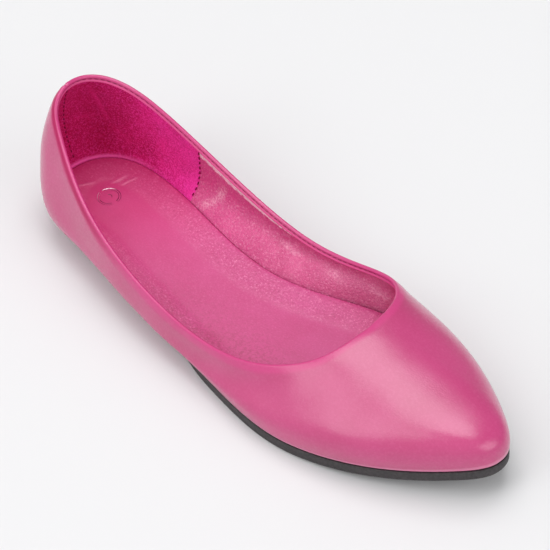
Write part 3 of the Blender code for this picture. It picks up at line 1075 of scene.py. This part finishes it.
def suede_material():
    """Napped suede, with painted light towards its front, painted shade at the heel, and painted
    highlights on its hem and its wrinkles.
    """
    paint = Paint("magenta suede", Roughness=0.95, Specular_IOR_Level=0.15)
    paint.shader.inputs["Sheen Weight"].default_value = 0.12
    paint.shader.inputs["Sheen Roughness"].default_value = 0.4
    paint.shader.inputs["Sheen Tint"].default_value = (1.0, 0.2, 0.5, 1)
    patches = paint.noise(110, 3, 0.6)
    nap = paint.noise(1350, 3, 0.85)
    paint.base = paint.mix(paint.spread(patches, 0.30, 0.62), SUEDE_DEEP, SUEDE)
    # Painted light: the suede is paler towards its front
    paint.tint(paint.along(SUEDE_LIT_SPAN), SUEDE_PALE, 0.45)
    # Painted shade: the suede is darker at the back of the heel
    heel = paint.along(SUEDE_SHADE_SPAN)
    paint.tint(heel, SUEDE_HEEL_SHADE, 0.75)
    shown = paint.spread(heel, 0.0, 1.0, 1.0, 0.4)
    paint.tint(paint.times(paint.spread(nap, 0.49, 0.60), shown), SUEDE_PALE)
    paint.tint(paint.spread(nap, 0.45, 0.36, 0, 0.35), SUEDE_PITS)
    # Painted highlight: the suede's wrinkles are mixed to a pale pink
    paint.tint(paint.attribute("ridge"), SUEDE_WRINKLE_HIGHLIGHT, 0.45)
    # Painted highlight: the raised hem above the insole is mixed to a pale pink
    paint.tint(paint.attribute("hem"), SUEDE_HEM_HIGHLIGHT, 0.95)
    paint.bump(patches, 0.00025)
    paint.bump(nap, 0.00015)
    paint.bump(paint.noise(4200, 2, 0.7), 0.00006)
    return paint.done()


def smooth_lining_material():
    """Crinkled glossy lining, with painted shade in the corner at the throat, painted light
    towards the back, a painted sheen towards the front, painted highlights on its wrinkles, and a
    pale raw edge.
    """
    paint = Paint("pink lining")
    paint.shader.inputs["Coat Roughness"].default_value = 0.25
    paint.base = paint.mix(paint.spread(paint.noise(70, 3, 0.6), 0.35, 0.65), LINING_DEEP, LINING)
    # Painted light: the lining is paler towards the back
    paint.tint(paint.along(BEHIND_SPAN), LINING_LIT_BEHIND, 0.6)
    # Painted sheen: the lining is paler and greyer towards the front
    paint.tint(paint.along(AHEAD_SPAN), LINING_SHEEN_AHEAD, 0.4)
    corner = paint.along(CORNER_SPAN)
    # Painted shade: the lining is darker in the corner at the throat
    paint.tint(corner, LINING_CORNER_SHADE, 0.9)
    paint.drive("Coat Weight", paint.spread(corner, 0, 1, 0.4, 0.05))
    paint.drive("Specular IOR Level", paint.spread(corner, 0, 1, 0.5, 0.15))
    grained = paint.along(GRAIN_SPAN)
    crinkle = paint.cells(850, "DISTANCE_TO_EDGE", place=paint.bent(260, 0.0010))
    paint.tint(paint.times(paint.spread(crinkle, 0.0, 0.10, 0.35, 0.0), grained), LINING_CRACKS)
    glint = paint.noise(1050, 3, 0.85)
    light = paint.times(paint.spread(glint, 0.53, 0.64, 0, 0.45), grained)
    paint.tint(paint.times(light, paint.spread(corner, 0, 1, 1.0, 0.3)), LINING_GLINTS)
    raw = paint.times(paint.attribute("raw_edge"), paint.noise(450, 3, 0.7))
    paint.tint(paint.spread(raw, 0.26, 0.40), LINING_RAW)
    ridge = paint.times(paint.attribute("ridge"), grained)
    # Painted highlight: the lining's wrinkles are mixed to a pale pink where the glints fall
    paint.tint(paint.times(ridge, paint.spread(glint, 0.40, 0.55)), LINING_WRINKLE_HIGHLIGHT, 0.75)
    paint.drive("Roughness", paint.spread(paint.noise(420, 3, 0.6), 0.35, 0.7, 0.30, 0.50))
    paint.bump(paint.times(paint.spread(crinkle, 0.0, 0.25), grained), 0.00012)
    paint.bump(paint.times(paint.noise(700, 4, 0.7), grained), 0.00030)
    paint.bump(paint.noise(160, 3, 0.6), 0.00030)
    paint.bump(paint.noise(1900, 2, 0.6), 0.00004)
    return paint.done(coat_too=True)


def insole_material():
    """Satin sock: a smooth middle, a grained border and fine creases at the heel; painted shade at
    the heel, by the outer wall and along the edge, painted highlights on the creases, and specks
    that are partly painted glints.
    """
    paint = Paint("pink sock", Roughness=0.5, Specular_IOR_Level=0.8)
    middle = paint.attribute("middle")
    paint.base = paint.mix(paint.spread(paint.noise(40, 3, 0.6), 0.35, 0.65), SOCK_DEEP, SOCK_PINK)
    heel = paint.along(SOCK_HEEL_SPAN, 1.0, 0.0)
    # Painted shade: the insole is darker at the heel, away from the light's reflection
    paint.tint(heel, SOCK_HEEL_SHADE, 0.75)
    speck = paint.noise(1100, 3, 0.85)
    border = paint.math("SUBTRACT", 1.0, middle)
    strong = paint.math("ADD", paint.times(border, 0.75), 0.25)
    strong = paint.times(strong, paint.spread(heel, 0, 1, 1.0, 0.35))
    # Pale specks of the grain, which are partly painted glints
    paint.tint(paint.times(paint.spread(speck, 0.54, 0.66), strong), SOCK_SPECKS_AND_GLINTS, 0.65)
    paint.tint(paint.times(paint.spread(speck, 0.46, 0.34), strong), SOCK_PITS, 0.5)
    folds = paint.streak(*INSOLE_CREASES[0])
    for crease in INSOLE_CREASES[1:]:
        folds = paint.math("MAXIMUM", folds, paint.streak(*crease))
    # Painted highlight: pale lines along the insole's creases
    paint.tint(folds, SOCK_CREASE_HIGHLIGHT, 0.28)
    # Painted shade by the outer wall at the front: a darker tone, and its grain darkened too
    outer = paint.along(SOCK_OUTER_WIDTH, axis="Y")
    outer = paint.times(outer, paint.along(SOCK_OUTER_SPAN))
    paint.tint(outer, SOCK_OUTER_SHADE, 0.2)
    grain = paint.spread(paint.noise(760, 3, 0.8), 0.53, 0.41)
    paint.tint(paint.times(grain, outer), SOCK_GRAIN_AND_SHADE, 0.6)
    # Painted shade: dark along the insole's edge, in the gap to the lining
    rim = paint.spread(paint.attribute("away"), 0.015, 0.04, 1.0, 0.0)
    paint.tint(rim, SOCK_EDGE_SHADE, 0.9)
    paint.drive("Specular IOR Level", paint.spread(rim, 0, 1, 0.8, 0.1))
    paint.drive("Roughness", paint.spread(paint.noise(300, 3, 0.6), 0.3, 0.7, 0.40, 0.55))
    paint.bump(folds, 0.00018)
    paint.bump(paint.times(paint.cells(1000), strong), 0.00012)
    paint.bump(paint.times(speck, strong), 0.00020)
    return paint.done()


def rubber_material():
    """Matt rubber, with fine ribs and slanting grooves on the underside alone, and painted shade
    in the grooves.
    """
    paint = Paint("black rubber", Roughness=0.62, Specular_IOR_Level=0.4)
    paint.base = paint.mix(paint.spread(paint.noise(900, 3, 0.6), 0.35, 0.7), RUBBER, RUBBER_PALE)
    paint.drive("Roughness", paint.spread(paint.noise(200, 3, 0.6), 0.3, 0.7, 0.52, 0.72))
    geometry = paint.add("ShaderNodeNewGeometry")
    split = paint.add("ShaderNodeSeparateXYZ", Vector=geometry.outputs["Normal"])
    down = paint.spread(split.outputs["Z"], -0.9, -0.98)
    ribs = paint.math("MAXIMUM", paint.bands("X"), paint.bands("DIAGONAL"))
    # Painted shade: darker in the grooves of the underside
    paint.tint(paint.times(paint.spread(ribs, 0.65, 0.35), down), RUBBER_GROOVE_SHADE, 0.8)
    paint.bump(paint.times(ribs, down), 0.0004)
    paint.bump(paint.noise(2400, 2, 0.6), 0.00003)
    return paint.done()


def thread_material():
    paint = Paint("magenta thread", Roughness=0.8, Specular_IOR_Level=0.15)
    twist = paint.noise(2500, 2, 0.5)
    paint.base = paint.mix(twist, THREAD_DEEP, THREAD)
    paint.bump(twist, 0.00006)
    return paint.done()


def foil_material():
    """Worn foil, with a painted highlight at the back of the stamp and painted shade at its front.
    """
    paint = Paint("worn foil with painted light", Roughness=0.3, Metallic=0.85)
    wear = paint.noise(420, 3, 0.6)
    worn = paint.spread(wear, 0.46, 0.56)
    # Painted highlight at the back of the stamp and painted shade at its front
    paint.base = paint.mix(paint.along(FOIL_LIGHT_SPAN), FOIL_SHADE, FOIL_HIGHLIGHT)
    paint.tint(worn, FOIL_WORN, 0.3)
    paint.drive("Roughness", paint.spread(wear, 0.4, 0.6, 0.29, 0.5))
    paint.bump(paint.noise(2000, 2, 0.6), 0.00005)
    return paint.done()


def finish_piece(item, material, slot_name, shift, *nodes):
    """Moves a piece into the frame, gives it its material and hides the nodes that it replaces."""
    item.data.materials.clear()
    item.data.materials.append(material)
    item.data.transform(Matrix.Translation(Vector(shift)))
    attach(item, "root")
    if nodes:
        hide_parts(*nodes)


def make_floor():
    bpy.ops.mesh.primitive_plane_add(size=FLOOR_SIZE, location=(0, 0, 0))
    floor = bpy.context.object
    floor.name = "floor"
    paint = Paint("pale floor", Roughness=0.6, Specular_IOR_Level=0.2)
    paint.base = paint.mix(paint.noise(2.0, 2, 0.5), FLOOR, FLOOR_PALE)
    floor.data.materials.append(paint.done())


def area_light(name, place, size, power):
    data = bpy.data.lights.new(name, "AREA")
    data.shape = "RECTANGLE"
    data.size, data.size_y = size
    data.energy = power
    item = added(name, data)
    item.location = place
    item.rotation_mode = "QUATERNION"
    item.rotation_quaternion = (-Vector(place)).to_track_quat("-Z", "Y")


def light_scene():
    """A pale studio, darker on the inner side of the shoe, with three soft lights."""
    world = bpy.data.worlds.new("studio")
    world.use_nodes = True
    tree = world.node_tree
    place = tree.nodes.new("ShaderNodeTexCoord")
    split = tree.nodes.new("ShaderNodeSeparateXYZ")
    tree.links.new(place.outputs["Generated"], split.inputs[0])
    across = tree.nodes.new("ShaderNodeMapRange")
    tree.links.new(split.outputs["Y"], across.inputs["Value"])
    for key, value in zip(RANGE_SOCKETS, WORLD_LIGHT):
        across.inputs[key].default_value = value
    background = tree.nodes["Background"]
    background.inputs["Color"].default_value = (1.0, 1.0, 1.0, 1)
    tree.links.new(across.outputs["Result"], background.inputs["Strength"])
    bpy.context.scene.world = world
    for light in LIGHTS:
        area_light(*light)


def make_camera():
    data = bpy.data.cameras.new("camera")
    data.sensor_width = 36
    data.lens = CAMERA_LENS
    item = added("camera", data)
    place, aim = Vector(CAMERA_PLACE), Vector(CAMERA_AIM)
    back = (place - aim).normalized()
    side = Vector((0, 0, 1)).cross(back).normalized()
    up = back.cross(side)
    turn = np.radians(CAMERA_ROLL)
    cos, sin = np.cos(turn), np.sin(turn)
    right = side * cos + up * sin
    upward = up * cos - side * sin
    rows = [(right[k], upward[k], back[k], place[k]) for k in range(3)]
    item.matrix_world = Matrix((*rows, (0, 0, 0, 1)))
    bpy.context.scene.camera = item


def main():
    for item in list(bpy.data.objects):
        bpy.data.objects.remove(item)
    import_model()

    # The last starts at its heel, and the frame in the middle of the upper's box
    last = Last(PER_ROW)
    skin = Skin(last)
    leather, grid = make_leather(last, skin)
    low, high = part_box("upper")
    middle = (grid.reshape(-1, 3).min(0) + grid.reshape(-1, 3).max(0)) / 2
    shift = np.array([(low.x + high.x) / 2 - middle[0], (low.y + high.y) / 2 - middle[1], 0.0])

    suede, smooth, lining, into, outer, inner = make_linings(skin)
    insole, insole_points = make_insole(skin)
    stamp = make_stamp(insole_points, shift)
    sole = make_outsole(last)

    # Stitches: round the collar, down the back of the counter lining and at its two ends
    path = skin.at(STITCH_LINE, WALL - STITCH_SUNK)
    ways = -skin.read(STITCH_LINE)[1]
    path = np.concatenate([path, path[:1]])
    ways = np.concatenate([ways, ways[:1]])
    collar = stitches("collar_stitches", path, ways, *COLLAR_STITCH)
    seams = []
    in_ribs = END_STITCHES / LINING_RIB
    lines = (
        ("back_stitches", np.full(len(lining), BACK_STITCHES)),
        ("inner_stitches", inner + in_ribs),
        ("outer_stitches", outer - in_ribs),
    )
    for name, places in lines:
        path = cut(lining, places, places, 1)[STITCHED, 0]
        ways = cut(into, places, places, 1)[STITCHED, 0]
        seams.append(stitches(name, path + ways * SUEDE_PROUD, ways, *LINING_STITCH))
    seams = joined(*seams)
    seams.name = "lining_stitches"

    finish_piece(leather, leather_material(), "upper_leather", shift, "upper")
    finish_piece(suede, suede_material(), "lining_suede", shift)
    finish_piece(smooth, smooth_lining_material(), "lining_smooth", shift)
    finish_piece(insole, insole_material(), "insole_sock", shift, "insole")
    finish_piece(stamp, foil_material(), "stamp", shift)
    finish_piece(sole, rubber_material(), "outsole_rubber", shift, "outsole")
    finish_piece(collar, thread_material(), "thread", shift)
    finish_piece(seams, thread_material(), "thread", shift)

    make_floor()
    light_scene()
    make_camera()
    bpy.context.scene.view_settings.view_transform = "Standard"


main()
